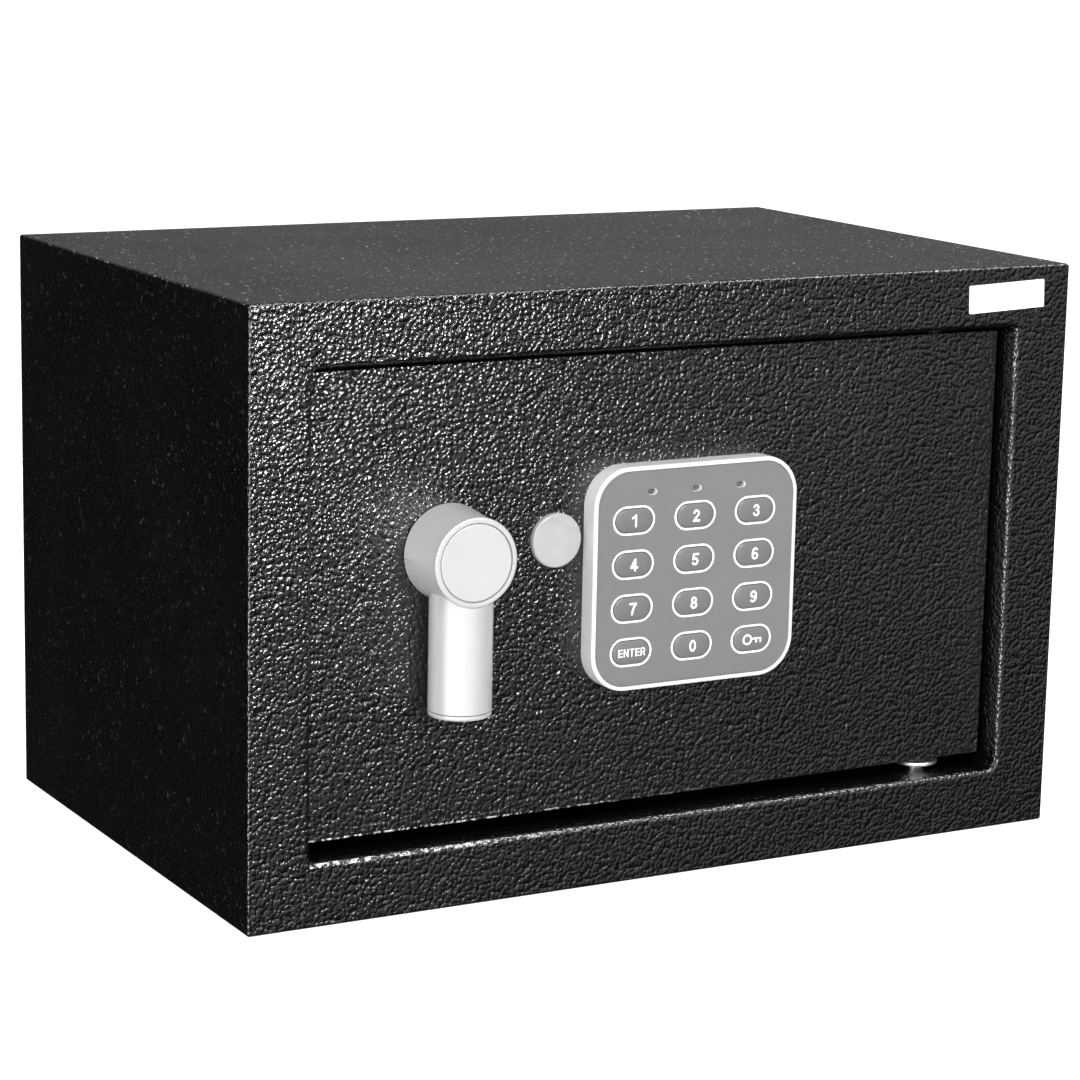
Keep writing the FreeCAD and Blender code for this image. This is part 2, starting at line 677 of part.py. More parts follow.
def bolt_carriage():
    """Slotted plate with a welded arm and a hanging tab that the plunger blocks."""
    y0 = BOLT_Y - CAR_T / 2.0
    y1 = BOLT_Y + CAR_T / 2.0
    s = box(CAR_X0, CAR_X1, y0, y1, CAR_Z0, CAR_Z1)
    s = s.fuse(box(CAR_X0, CAR_X0 + CAR_T, BOLT_Y - 7.5, BOLT_Y + 7.5, CAR_Z0, CAR_Z1))
    tab_x0 = SOL_X + PLUNGER_COLLAR_R + TAB_GAP
    tab_x1 = SOL_X - PLUNGER_COLLAR_R - TAB_GAP + BOLT_TRAVEL
    arm = box(CAR_X1, tab_x1, y0, y1, 98.5, 104.5)
    tab = box(tab_x0, tab_x1, y0, y1, PLUNGER_TOP + 1.0, 98.5)
    reach = BOLT_TRAVEL + 2 * GUIDE_R + 2 * GUIDE_RUN
    for z in GUIDE_ZS:
        xc = GUIDE_X + BOLT_TRAVEL / 2.0
        s = s.cut(pill_y(xc, z, reach + 0.2, 2 * (GUIDE_R + GUIDE_RUN), y0 - 1, y1 + 1))
    px, pz = crank_pin_centre()
    z_low = HND_Z - CRANK_R - CRANK_PIN_R - 0.5
    z_top = pz + CRANK_PIN_R + 0.6
    s = s.cut(box(px - SLOT_W / 2, px + SLOT_W / 2, y0 - 1, y1 + 1, z_low, z_top))
    for z in BOLT_ZS:
        s = s.cut(rod_x(BOLT_Y, z, 4.05, CAR_X0 - 1, CAR_X0 + CAR_T + 1))
        s = s.cut(box(CAR_X0 + CAR_T, CAR_X0 + CAR_T + 2.6, y0 - 1, y1 + 1, z - 6.2, z + 6.2))
    return Part.makeCompound([s.removeSplitter(), arm, tab])


def lock_bolts():
    out = []
    for z in BOLT_ZS:
        s = rod_x(BOLT_Y, z, BOLT_R, BOLT_TIP_X, CAR_X0)
        tip = [e for e in s.Edges if isinstance(e.Curve, Part.Circle)
               and abs(e.BoundBox.XMax - BOLT_TIP_X) < 1e-4]
        s = s.makeChamfer(1.0, tip)
        s = s.fuse(rod_x(BOLT_Y, z, 4.0, CAR_X0, CAR_X0 + CAR_T))
        s = s.fuse(rod_x(BOLT_Y, z, 5.6, CAR_X0 + CAR_T, CAR_X0 + CAR_T + 1.6))
        out.append(s.removeSplitter())
    return Part.makeCompound(out)


# ---- solenoid blocker ------------------------------------------------------

def solenoid_frame():
    y_back = BOLT_Y + 8.5
    a = SOL_X - SOL_HALF
    b = SOL_X + SOL_HALF
    s = box(a, b, Y_DOOR_IN, Y_DOOR_IN + 1.5, SOL_Z0, SOL_Z1)
    s = s.fuse(box(a, b, Y_DOOR_IN, y_back, SOL_Z0, SOL_Z0 + 1.5))
    s = s.fuse(box(a, b, Y_DOOR_IN, y_back, SOL_Z1 - 1.5, SOL_Z1))
    s = s.cut(rod_z(SOL_X, BOLT_Y, PLUNGER_R + 0.1, SOL_Z1 - 3, SOL_Z1 + 1))
    return s.removeSplitter()


def solenoid_coil():
    s = rod_z(SOL_X, BOLT_Y, COIL_R, SOL_Z0 + 3.0, SOL_Z1 - 3.0)
    s = s.fuse(rod_z(SOL_X, BOLT_Y, COIL_R - 0.2, SOL_Z0 + 1.5, SOL_Z1 - 1.5))
    s = s.cut(rod_z(SOL_X, BOLT_Y, PLUNGER_R + 0.1, SOL_Z0 + 4.0, SOL_Z1 + 1))
    return s.removeSplitter()


def plunger():
    s = rod_z(SOL_X, BOLT_Y, PLUNGER_R, SOL_Z0 + 4.2, PLUNGER_TOP)
    s = s.makeChamfer(0.6, [e for e in s.Edges if abs(e.BoundBox.ZMin - PLUNGER_TOP) < 1e-4])
    s = s.fuse(rod_z(SOL_X, BOLT_Y, PLUNGER_COLLAR_R, 89.4, 90.6))
    s = s.fuse(box(SOL_X - 2.5, SOL_X + 2.5, BOLT_Y + 2.0, -62.0, 89.4, 90.6))
    return s.removeSplitter()


def plunger_spring():
    return coil_z(SOL_X, BOLT_Y, 3.95, 0.25, SOL_Z1 + 0.02, 89.38, 2.5)


# ---- override lock ---------------------------------------------------------

def lock_housing():
    y0 = Y_DOOR + 1.0
    s = rod_y(LOCK_X, LOCK_Z, LOCK_BODY_R, y0, -68.0)
    s = s.fuse(rod_y(LOCK_X, LOCK_Z, 12.5, Y_DOOR_IN, Y_DOOR_IN + 2.5))
    s = s.cut(rod_y(LOCK_X, LOCK_Z, 7.4, y0 - 1, y0 + 1.7))
    s = s.cut(rod_y(LOCK_X, LOCK_Z, LOCK_PLUG_R + 0.06, y0 - 1, -67.0))
    for sx in (-1, 1):
        s = s.cut(rod_y(LOCK_X + sx * 10.4, LOCK_Z, 1.1, Y_DOOR_IN - 1, Y_DOOR_IN + 4))
    return s.removeSplitter()


def lock_screws():
    out = []
    for sx in (-1, 1):
        x = LOCK_X + sx * 10.4
        s = rod_y(x, LOCK_Z, 1.05, Y_DOOR_IN, Y_DOOR_IN + 2.5)
        s = s.fuse(rod_y(x, LOCK_Z, 1.9, Y_DOOR_IN + 2.5, Y_DOOR_IN + 3.7))
        out.append(s.removeSplitter())
    return Part.makeCompound(out)


def lock_plug():
    y0 = Y_DOOR + 2.8
    s = rod_y(LOCK_X, LOCK_Z, LOCK_PLUG_R, y0, -67.2)
    s = s.fuse(rod_y(LOCK_X, LOCK_Z, 4.0, -67.2, -63.5))
    s = s.cut(box(LOCK_X - 1.0, LOCK_X + 1.0, y0 - 1, y0 + 14.0, LOCK_Z - 3.8, LOCK_Z + 3.8))
    for side in (-1, 1):
        xa = LOCK_X + min(side * 3.2, side * 6.0)
        s = s.cut(box(xa, xa + 2.8, -66.2, -63.0, LOCK_Z - 6, LOCK_Z + 6))
    return s.removeSplitter()


def lock_cam():
    y0 = -66.0
    y1 = -64.0
    s = rod_y(LOCK_X, LOCK_Z, 7.5, y0, y1)
    s = s.fuse(box(LOCK_X, LOCK_X + 15.0, y0, y1, LOCK_Z - 4.0, LOCK_Z + 4.0))
    s = s.fuse(rod_y(LOCK_X + 15.0, LOCK_Z, 4.0, y0, y1))
    bore = rod_y(LOCK_X, LOCK_Z, 4.05, y0 - 1, y1 + 1)
    bore = bore.common(box(LOCK_X - 3.25, LOCK_X + 3.25, y0 - 2, y1 + 2, LOCK_Z - 6, LOCK_Z + 6))
    return s.cut(bore).removeSplitter()


def key_cover():
    """Round push-in cap that hides the keyway."""
    s = rod_y(LOCK_X, LOCK_Z, COVER_R, Y_DOOR - COVER_PROUD, Y_DOOR - 0.05)
    s = s.makeFillet(0.8, edges_at_y(s, Y_DOOR - COVER_PROUD))
    skirt = ring_y(LOCK_X, LOCK_Z, 7.3, 6.0, Y_DOOR - 0.5, Y_DOOR + 2.5)
    return s.fuse(skirt).removeSplitter()


# ---- battery bay and electronics ------------------------------------------

def cell_centres():
    xc = (BAT_X0 + BAT_X1) / 2.0
    return [xc + (i - (CELL_COUNT - 1) / 2.0) * CELL_PITCH for i in range(CELL_COUNT)]


CELL_Y = -64.8
CELL_Z0 = (BAT_Z0 + BAT_Z1) / 2.0 - CELL_L / 2.0


def battery_box():
    s = box(BAT_X0, BAT_X1, BAT_Y, Y_PAN - PAN_T, BAT_Z0, BAT_Z1)
    t = BAT_WALL
    s = s.cut(box(BAT_X0 + t, BAT_X1 - t, BAT_Y + t, Y_PAN + 1, BAT_Z0 + t, BAT_Z1 - t))
    xs = cell_centres()
    for a, b in zip(xs[:-1], xs[1:]):
        xm = (a + b) / 2.0
        s = s.fuse(box(xm - 0.6, xm + 0.6, BAT_Y + t, BAT_Y + t + 5.0, BAT_Z0 + t, BAT_Z1 - t))
    return s.removeSplitter()


def aa_cells():
    out = []
    for i, x in enumerate(cell_centres()):
        up = i % 2 == 0
        s = rod_z(x, CELL_Y, CELL_R, CELL_Z0, CELL_Z0 + CELL_L)
        s = s.makeFillet(0.6, [e for e in s.Edges if isinstance(e.Curve, Part.Circle)])
        if up:
            s = s.fuse(rod_z(x, CELL_Y, 2.7, CELL_Z0 + CELL_L, CELL_Z0 + CELL_L + 1.3))
        else:
            s = s.fuse(rod_z(x, CELL_Y, 2.7, CELL_Z0 - 1.3, CELL_Z0))
        out.append(s.removeSplitter())
    return Part.makeCompound(out)


def battery_contacts():
    """Plate at each cell end; the flat end of a cell meets a coil."""
    out = []
    lo = BAT_Z0 + BAT_WALL
    hi = BAT_Z1 - BAT_WALL
    for i, x in enumerate(cell_centres()):
        up = i % 2 == 0
        out.append(box(x - 5.5, x + 5.5, CELL_Y - 5.5, CELL_Y + 5.5, lo, lo + 0.4))
        out.append(box(x - 5.5, x + 5.5, CELL_Y - 5.5, CELL_Y + 5.5, hi - 0.4, hi))
        if up:
            out.append(coil_z(x, CELL_Y, 3.4, 0.35, lo + 0.45, CELL_Z0 - 0.05, 3.0))
            out.append(rod_z(x, CELL_Y, 2.4, CELL_Z0 + CELL_L + 1.35, hi - 0.4))
        else:
            out.append(coil_z(x, CELL_Y, 3.4, 0.35, CELL_Z0 + CELL_L + 0.05, hi - 0.45, 3.0))
            out.append(rod_z(x, CELL_Y, 2.4, lo + 0.4, CELL_Z0 - 1.35))
    return Part.makeCompound(out)


def battery_lid():
    x0, x1, z0, z1 = battery_window()
    xc = (x0 + x1) / 2.0
    zc = (z0 + z1) / 2.0
    s = round_box_y(xc, zc, x1 - x0 + 7.0, z1 - z0 + 7.0, 3.0, Y_PAN + 0.02, Y_PAN + 1.8)
    s = s.makeFillet(0.7, edges_at_y(s, Y_PAN + 1.8))
    g = 0.35
    rim = box(x0 + g, x1 - g, Y_PAN - 2.0, Y_PAN + 0.5, z0 + g, z1 - g)
    rim = rim.cut(box(x0 + g + 1.4, x1 - g - 1.4, Y_PAN - 3, Y_PAN + 1, z0 + g + 1.4, z1 - g - 1.4))
    s = s.fuse(rim)
    for i in range(5):
        z = z1 - 6.0 - i * 2.2
        s = s.cut(box(xc - 9, xc + 9, Y_PAN + 1.4, Y_PAN + 3, z - 0.5, z + 0.5))
    return s.removeSplitter()


def control_board():
    y1 = BOARD_Y + BOARD_T
    out = [box(BOARD_X0, BOARD_X1, BOARD_Y, y1, BOARD_Z0, BOARD_Z1)]
    out.append(box(22.0, 37.0, y1, y1 + 3.2, 124.0, 139.0))
    out.append(box(44.0, 59.0, y1, y1 + 11.0, 140.0, 152.0))
    out.append(rod_y(30.0, 149.0, 6.0, y1, y1 + 7.5))
    out.append(box(46.0, 60.0, y1, y1 + 6.0, 110.0, 116.0))
    out.append(rod_y(68.0, 128.0, 3.2, y1, y1 + 11.0))
    for i in range(4):
        out.append(box(44.0 + 4 * i, 46.0 + 4 * i, y1, y1 + 0.9, 126.0, 130.0))
    return Part.makeCompound(out)


def reset_switch():
    s = box(RESET_X - 4.5, RESET_X + 4.5, Y_PAN - PAN_T - 8.0, Y_PAN - PAN_T, RESET_Z - 4.5, RESET_Z + 4.5)
    return s.cut(rod_y(RESET_X, RESET_Z, 3.1, Y_PAN - PAN_T - 6.0, Y_PAN))


def reset_button():
    s = rod_y(RESET_X, RESET_Z, 3.0, Y_PAN - PAN_T - 4.0, Y_PAN + 1.6)
    return s.makeFillet(0.6, edges_at_y(s, Y_PAN + 1.6))


def wiring():
    out = []
    ribbon = box(PAD_X - 4.0, PAD_X + 4.0, Y_DOOR - PAD_FLOOR - 0.45, -76.0, PAD_Z - 0.5, PAD_Z + 0.5)
    ribbon = ribbon.fuse(box(PAD_X - 4.0, PAD_X + 4.0, -77.0, -76.0, PAD_Z - 0.5, PAD_Z + 20.0))
    ribbon = ribbon.fuse(box(PAD_X - 4.0, BOARD_X0 + 9.0, -77.0, -76.0, PAD_Z + 12.0, PAD_Z + 20.0))
    ribbon = ribbon.fuse(box(BOARD_X0 + 4.0, BOARD_X0 + 9.0, -77.0, BOARD_Y - 0.05, PAD_Z + 12.0, PAD_Z + 20.0))
    out.append(ribbon.removeSplitter())
    sol = [V(SOL_X + 5.0, -84.0, SOL_Z0 - 0.95), V(-20.0, -84.0, SOL_Z0 - 0.95), V(-8.0, -84.0, 70.0),
           V(-8.0, -84.0, 150.0), V(20.0, -84.0, 150.0), V(20.0, -75.0, 150.0)]
    out.append(tube_path(sol, 0.9))
    bat = [V(60.0, -82.0, 70.0), V(60.0, -82.0, 104.0), V(60.0, -82.0, 113.0), V(60.0, -75.0, 113.0)]
    bat.insert(0, V(60.0, -75.0, 70.0))
    out.append(tube_path(bat, 0.9))
    res = [V(RESET_X, -65.2, RESET_Z), V(RESET_X, -70.0, RESET_Z), V(84.0, -70.0, RESET_Z), V(81.1, -73.2, 112.0)]
    out.append(tube_path(res, 0.8))
    return Part.makeCompound(out)


FIXED = {
    "body_shell": body_shell,
    "front_frame": front_frame,
    "back_panel": back_panel,
    "carpet_mat": carpet_mat,
    "badge": badge,
    "hinge_pins": hinge_pins,
    "hinge_washers": hinge_washers,
    "door_plate": door_plate,
    "hinge_barrels": hinge_barrels,
    "door_pan": door_pan,
    "standoffs": standoffs,
    "pan_screws": pan_screws,
    "spindle_bush": spindle_bush,
    "carriage_guides": carriage_guides,
    "keypad_bezel": keypad_bezel,
    "keypad_face": keypad_face,
    "led_lenses": led_lenses,
    "key_mat": key_mat,
    "keypad_pcb": keypad_pcb,
    "keypad_screws": keypad_screws,
    "handle_hub": handle_hub,
    "handle_skirt": handle_skirt,
    "handle_cap": handle_cap,
    "handle_lever": handle_lever,
    "lever_end_cap": lever_end_cap,
    "spindle": spindle,
    "spindle_clip": spindle_clip,
    "crank": crank,
    "bolt_carriage": bolt_carriage,
    "lock_bolts": lock_bolts,
    "solenoid_frame": solenoid_frame,
    "solenoid_coil": solenoid_coil,
    "plunger": plunger,
    "plunger_spring": plunger_spring,
    "lock_housing": lock_housing,
    "lock_screws": lock_screws,
    "lock_plug": lock_plug,
    "lock_cam": lock_cam,
    "key_cover": key_cover,
    "battery_box": battery_box,
    "aa_cells": aa_cells,
    "battery_contacts": battery_contacts,
    "battery_lid": battery_lid,
    "control_board": control_board,
    "reset_switch": reset_switch,
    "reset_button": reset_button,
    "wiring": wiring,
}

KEY_NAMES = ("key_1", "key_2", "key_3", "key_4", "key_5", "key_6",
             "key_7", "key_8", "key_9", "key_enter", "key_0", "key_open")

for node, make in FIXED.items():
    save(node, make())

for node, (kx, kz) in zip(KEY_NAMES, key_centres()):
    save(node, key_cap(kx, kz))
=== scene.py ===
import json
import math

import bmesh
import bpy
import numpy as np
from mathutils import Matrix, Vector


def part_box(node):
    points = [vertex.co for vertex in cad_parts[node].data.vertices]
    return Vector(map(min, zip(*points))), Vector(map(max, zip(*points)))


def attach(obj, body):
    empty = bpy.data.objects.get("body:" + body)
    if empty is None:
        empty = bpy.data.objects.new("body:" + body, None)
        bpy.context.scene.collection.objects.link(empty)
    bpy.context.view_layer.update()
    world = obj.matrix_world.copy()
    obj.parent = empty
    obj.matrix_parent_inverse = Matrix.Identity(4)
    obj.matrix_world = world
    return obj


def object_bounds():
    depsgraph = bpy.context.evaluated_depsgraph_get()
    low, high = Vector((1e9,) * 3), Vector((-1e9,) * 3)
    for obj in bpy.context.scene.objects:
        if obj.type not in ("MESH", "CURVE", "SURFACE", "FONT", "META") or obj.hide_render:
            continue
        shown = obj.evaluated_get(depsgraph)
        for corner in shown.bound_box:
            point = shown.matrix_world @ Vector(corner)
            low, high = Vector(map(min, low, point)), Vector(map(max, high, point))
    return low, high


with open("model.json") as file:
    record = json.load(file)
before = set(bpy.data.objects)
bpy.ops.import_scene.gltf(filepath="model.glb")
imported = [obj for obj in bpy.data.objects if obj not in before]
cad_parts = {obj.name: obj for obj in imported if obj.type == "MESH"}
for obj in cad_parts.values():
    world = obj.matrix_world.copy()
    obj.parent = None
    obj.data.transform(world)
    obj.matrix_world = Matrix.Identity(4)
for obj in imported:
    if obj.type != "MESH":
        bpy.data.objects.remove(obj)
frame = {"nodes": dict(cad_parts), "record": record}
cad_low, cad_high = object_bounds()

NODES = frame["nodes"]
MM = 0.001

# ---------------------------------------------------------------- camera ----
CAM_PLACE = (-0.55385, -1.00119, 0.33125)
CAM_AIM = (-0.00654, -0.01667, 0.09959)
CAM_ROLL = math.radians(1.1661)
CAM_LENS = 109.21

cam_data = bpy.data.cameras.new("camera")
cam_data.sensor_width = 36.0
cam_data.lens = CAM_LENS
cam_data.clip_start = 0.05
cam_data.clip_end = 50.0
cam = bpy.data.objects.new("camera", cam_data)
bpy.context.scene.collection.objects.link(cam)
cam.location = CAM_PLACE
aim = (Vector(CAM_AIM) - Vector(CAM_PLACE)).normalized()
cam.rotation_mode = "QUATERNION"
level = aim.to_track_quat("-Z", "Y").to_matrix()
cam.rotation_quaternion = (level @ Matrix.Rotation(CAM_ROLL, 3, "Z")).to_quaternion()
bpy.context.scene.camera = cam
bpy.context.scene.view_settings.view_transform = "Standard"


# ---------------------------------------------------------- node helpers ----
def new_material(name):
    mat = bpy.data.materials.new(name)
    mat.use_nodes = True
    tree = mat.node_tree
    bsdf = next(n for n in tree.nodes if n.type == "BSDF_PRINCIPLED")
    return mat, tree, bsdf


def add(tree, kind, links=None, **settings):
    """A node with its inputs set, or joined where a value is a socket."""
    n = tree.nodes.new(kind)
    for key, value in settings.items():
        setattr(n, key, value)
    for key, value in (links or {}).items():
        if isinstance(value, bpy.types.NodeSocket):
            tree.links.new(value, n.inputs[key])
        else:
            n.inputs[key].default_value = value
    return n


def place(tree, stretch=(1.0, 1.0, 1.0)):
    """Object coordinates in metres, stretched along the axes."""
    coord = add(tree, "ShaderNodeTexCoord")
    m = add(tree, "ShaderNodeMapping", {"Vector": coord.outputs["Object"], "Scale": stretch})
    return m.outputs["Vector"]


def ramp(tree, fac, stops):
    n = add(tree, "ShaderNodeValToRGB", {"Fac": fac})
    bar = n.color_ramp
    while len(bar.elements) < len(stops):
        bar.elements.new(0.5)
    for element, (at, colour) in zip(bar.elements, stops):
        element.position = at
        element.color = (*colour, 1.0) if len(colour) == 3 else colour
    return n.outputs["Color"]


def grey(v):
    return (v, v, v)


def noise(tree, vec, scale, detail=2.0, rough=0.5, warp=0.0):
    n = add(tree, "ShaderNodeTexNoise",
            {"Vector": vec, "Scale": scale, "Detail": detail, "Roughness": rough, "Distortion": warp})
    return n.outputs["Fac"]


def blend(tree, share, a, b):
    """Two heights mixed, with share of the second."""
    return add(tree, "ShaderNodeMix", {"Factor": share, "A": a, "B": b}, data_type="FLOAT").outputs["Result"]


def math_node(tree, kind, a, b=0.0, clamp=False):
    n = tree.nodes.new("ShaderNodeMath")
    n.operation = kind
    n.use_clamp = clamp
    for i, value in enumerate((a, b)):
        if isinstance(value, bpy.types.NodeSocket):
            tree.links.new(value, n.inputs[i])
        else:
            n.inputs[i].default_value = value
    return n.outputs[0]


def bump(tree, height, distance, strength=1.0, normal=None):
    links = {"Height": height, "Distance": distance, "Strength": strength}
    if normal is not None:
        links["Normal"] = normal
    return add(tree, "ShaderNodeBump", links).outputs["Normal"]


# -------------------------------------------------------------- materials ---
PALE = (0.75, 0.75, 0.76, 1.0)          # dust, bare metal and the painted highlight on the lower edges
SATIN_GRAIN = 0.00001                   # height of the grain in silver paint, m


def powder_coat(name, pitch, slope, base=0.004, rough=0.15, shine=0.5, dust=0.0, wear_and_glint=()):
    """Black powder coat: flat-topped grains of one pitch (m) with grooves between, and fine grit.

    dust is the strength of the pale specks and film, most on faces that look up.
    wear_and_glint lists (z, half height, y, x0, x1, amount): pale lines in front of y, partly coat chipped
    to bright metal and partly painted highlight, most at x0 and none at x1.
    """
    mat, t, b = new_material(name)
    vec = place(t)
    sway = add(t, "ShaderNodeTexNoise", {"Vector": vec, "Scale": 0.6 / pitch, "Detail": 1.0})
    shift = add(t, "ShaderNodeVectorMath", {0: sway.outputs["Color"], 1: (0.5, 0.5, 0.5)},
                operation="SUBTRACT")
    scaled = add(t, "ShaderNodeVectorMath", {0: shift.outputs[0], "Scale": 1.1 * pitch}, operation="SCALE")
    bent = add(t, "ShaderNodeVectorMath", {0: vec, 1: scaled.outputs[0]}, operation="ADD").outputs[0]
    cells = add(t, "ShaderNodeTexVoronoi",
                {"Vector": bent, "Scale": 1.0 / pitch, "Smoothness": 0.25, "Randomness": 0.9},
                feature="SMOOTH_F1").outputs["Distance"]
    dome = math_node(t, "MULTIPLY", math_node(t, "POWER", cells, 2.6), -1.0)
    swell = noise(t, vec, 0.4 / pitch, 2.0, 0.55)
    grit = noise(t, vec, 4.0 / pitch, 1.0, 0.6)
    body = math_node(t, "ADD", dome, math_node(t, "MULTIPLY", swell, 0.40))
    body = math_node(t, "ADD", body, math_node(t, "MULTIPLY", grit, 0.03))
    t.links.new(bump(t, body, pitch * slope), b.inputs["Normal"])
    patch = noise(t, vec, 28.0, 3.0, 0.6)
    tone = ramp(t, patch, [(0.3, grey(base * 0.8)), (0.7, grey(base * 1.3))])
    marks = []
    if dust:
        normal = add(t, "ShaderNodeNewGeometry").outputs["True Normal"]
        face = add(t, "ShaderNodeSeparateXYZ", {"Vector": normal})
        lying = ramp(t, face.outputs["Z"], [(0.3, grey(0.04)), (0.8, grey(1.0))])
        specks = ramp(t, noise(t, vec, 520.0, 2.0, 0.7), [(0.655, grey(0.0)), (0.70, grey(dust))])
        marks.append(math_node(t, "MULTIPLY", specks, lying))
        film = ramp(t, noise(t, vec, 9.0, 5.0, 0.65), [(0.40, grey(0.0)), (0.72, grey(dust * 0.03))])
        marks.append(math_node(t, "MULTIPLY", film, lying))
        grain = ramp(t, noise(t, vec, 1100.0, 2.0, 0.8), [(0.44, grey(0.0)), (0.66, grey(dust * 0.06))])
        marks.append(math_node(t, "MULTIPLY", grain, lying))
    if wear_and_glint:
        axes = add(t, "ShaderNodeSeparateXYZ", {"Vector": vec})
        chips_and_glints = ramp(t, noise(t, vec, 520.0, 3.0, 0.7), [(0.50, grey(0.0)), (0.56, grey(1.0))])
    # Painted highlight with the wear: pale dashes along each listed line, fading from x0 to x1.
    for z, half, y, x0, x1, amount in wear_and_glint:
        off = math_node(t, "ABSOLUTE", math_node(t, "SUBTRACT", axes.outputs["Z"], z))
        line = math_node(t, "LESS_THAN", off, half)
        span = add(t, "ShaderNodeMapRange",
                   {"Value": axes.outputs["X"], "From Min": x0, "From Max": x1,
                    "To Min": amount, "To Max": 0.0}).outputs["Result"]
        after = math_node(t, "GREATER_THAN", axes.outputs["X"], x0)
        after = math_node(t, "MULTIPLY", after, math_node(t, "LESS_THAN", axes.outputs["Y"], y))
        part = math_node(t, "MULTIPLY", math_node(t, "MULTIPLY", line, span), after)
        marks.append(math_node(t, "MULTIPLY", part, chips_and_glints))
    for mark in marks:
        tone = add(t, "ShaderNodeMixRGB", {"Fac": mark, "Color1": tone, "Color2": PALE})
        tone = tone.outputs["Color"]
    t.links.new(tone, b.inputs["Base Color"])
    fine = noise(t, vec, 1400.0, 1.0)
    t.links.new(ramp(t, fine, [(0.3, grey(rough - 0.03)), (0.75, grey(rough + 0.06))]),
                b.inputs["Roughness"])
    b.inputs["Specular IOR Level"].default_value = shine
    return mat


def silver_paint(name, tone, rough, metallic=0.55):
    """Fine satin silver with a faint grain and slight handling marks."""
    mat, t, b = new_material(name)
    vec = place(t)
    speck = noise(t, vec, 5200.0, 1.0)
    smear = noise(t, vec, 60.0, 3.0, 0.6)
    col = blend(t, 0.5, speck, smear)
    tones = [(0.3, grey(tone * 0.95)), (0.7, grey(min(1.0, tone * 1.05)))]
    t.links.new(ramp(t, col, tones), b.inputs["Base Color"])
    t.links.new(ramp(t, smear, [(0.3, grey(rough - 0.01)), (0.7, grey(rough + 0.02))]),
                b.inputs["Roughness"])
    b.inputs["Metallic"].default_value = metallic
    t.links.new(bump(t, noise(t, vec, 9000.0, 1.0), SATIN_GRAIN, 0.5), b.inputs["Normal"])
    return mat


def brushed_grey(name, tone, rough=0.42):
    """Grey foil face, faintly brushed along X."""
    mat, t, b = new_material(name)
    streak = noise(t, place(t, (1.0, 1.0, 26.0)), 420.0, 3.0, 0.65)
    cloud = noise(t, place(t), 45.0, 2.0)
    mix = blend(t, 0.3, streak, cloud)
    t.links.new(ramp(t, mix, [(0.3, (tone * 0.90, tone * 0.905, tone * 0.935)),
                              (0.7, (tone * 1.08, tone * 1.085, tone * 1.115))]), b.inputs["Base Color"])
    b.inputs["Metallic"].default_value = 0.35
    b.inputs["Roughness"].default_value = rough
    t.links.new(bump(t, streak, 0.000012, 0.4), b.inputs["Normal"])
    return mat


def print_ink(name, tone=0.86):
    """White print with a slight unevenness."""
    mat, t, b = new_material(name)
    cloud = noise(t, place(t), 900.0, 2.0)
    t.links.new(ramp(t, cloud, [(0.3, grey(tone * 0.97)), (0.7, grey(tone))]), b.inputs["Base Color"])
    b.inputs["Roughness"].default_value = 0.45
    return mat


def plated(name, colour, rough, scratch=0.00001):
    """Zinc or bright plate with fine scratches and stains."""
    mat, t, b = new_material(name)
    vec = place(t)
    stain = noise(t, vec, 90.0, 4.0, 0.6)
    low = tuple(c * 0.86 for c in colour)
    t.links.new(ramp(t, stain, [(0.3, low), (0.7, colour)]), b.inputs["Base Color"])
    b.inputs["Metallic"].default_value = 1.0
    lines = noise(t, place(t, (1.0, 1.0, 14.0)), 700.0, 3.0, 0.7)
    t.links.new(ramp(t, lines, [(0.3, grey(max(0.03, rough - 0.06))), (0.7, grey(rough + 0.10))]),
                b.inputs["Roughness"])
    t.links.new(bump(t, lines, scratch, 0.5), b.inputs["Normal"])
    return mat


def moulded(name, colour, rough, gloss=0.0, spark=0.00002, spark_scale=2600.0):
    """Moulded plastic with a fine spark-eroded grain."""
    mat, t, b = new_material(name)
    vec = place(t)
    cloud = noise(t, vec, 70.0, 3.0, 0.6)
    low = tuple(c * 0.90 for c in colour)
    high = tuple(min(1.0, c * 1.06) for c in colour)
    t.links.new(ramp(t, cloud, [(0.3, low), (0.7, high)]), b.inputs["Base Color"])
    t.links.new(ramp(t, cloud, [(0.3, grey(rough)), (0.7, grey(min(1.0, rough + 0.08)))]),
                b.inputs["Roughness"])
    b.inputs["Coat Weight"].default_value = gloss
    b.inputs["Coat Roughness"].default_value = 0.08
    t.links.new(bump(t, noise(t, vec, spark_scale, 2.0), spark, 0.6), b.inputs["Normal"])
    return mat


def needle_felt(name):
    """Dark needled felt: tangled fibres over soft tufts."""
    mat, t, b = new_material(name)
    vec = place(t)
    fibre = noise(t, vec, 1500.0, 4.0, 0.75, 2.5)
    tuft = noise(t, vec, 260.0, 3.0, 0.6, 1.0)
    both = blend(t, 0.5, fibre, tuft)
    t.links.new(ramp(t, both, [(0.35, (0.012, 0.012, 0.014)), (0.62, (0.06, 0.06, 0.066))]),
                b.inputs["Base Color"])
    b.inputs["Roughness"].default_value = 0.95
    b.inputs["Sheen Weight"].default_value = 0.35
    b.inputs["Sheen Roughness"].default_value = 0.4
    t.links.new(bump(t, both, 0.0006, 0.9), b.inputs["Normal"])
    return mat


def clear_lens(name):
    """Glossy dark window over an indicator light."""
    mat, t, b = new_material(name)
    cloud = noise(t, place(t), 300.0, 2.0)
    t.links.new(ramp(t, cloud, [(0.3, grey(0.13)), (0.7, grey(0.20))]), b.inputs["Base Color"])
    b.inputs["Roughness"].default_value = 0.12
    b.inputs["Coat Weight"].default_value = 1.0
    b.inputs["Transmission Weight"].default_value = 0.3
    return mat


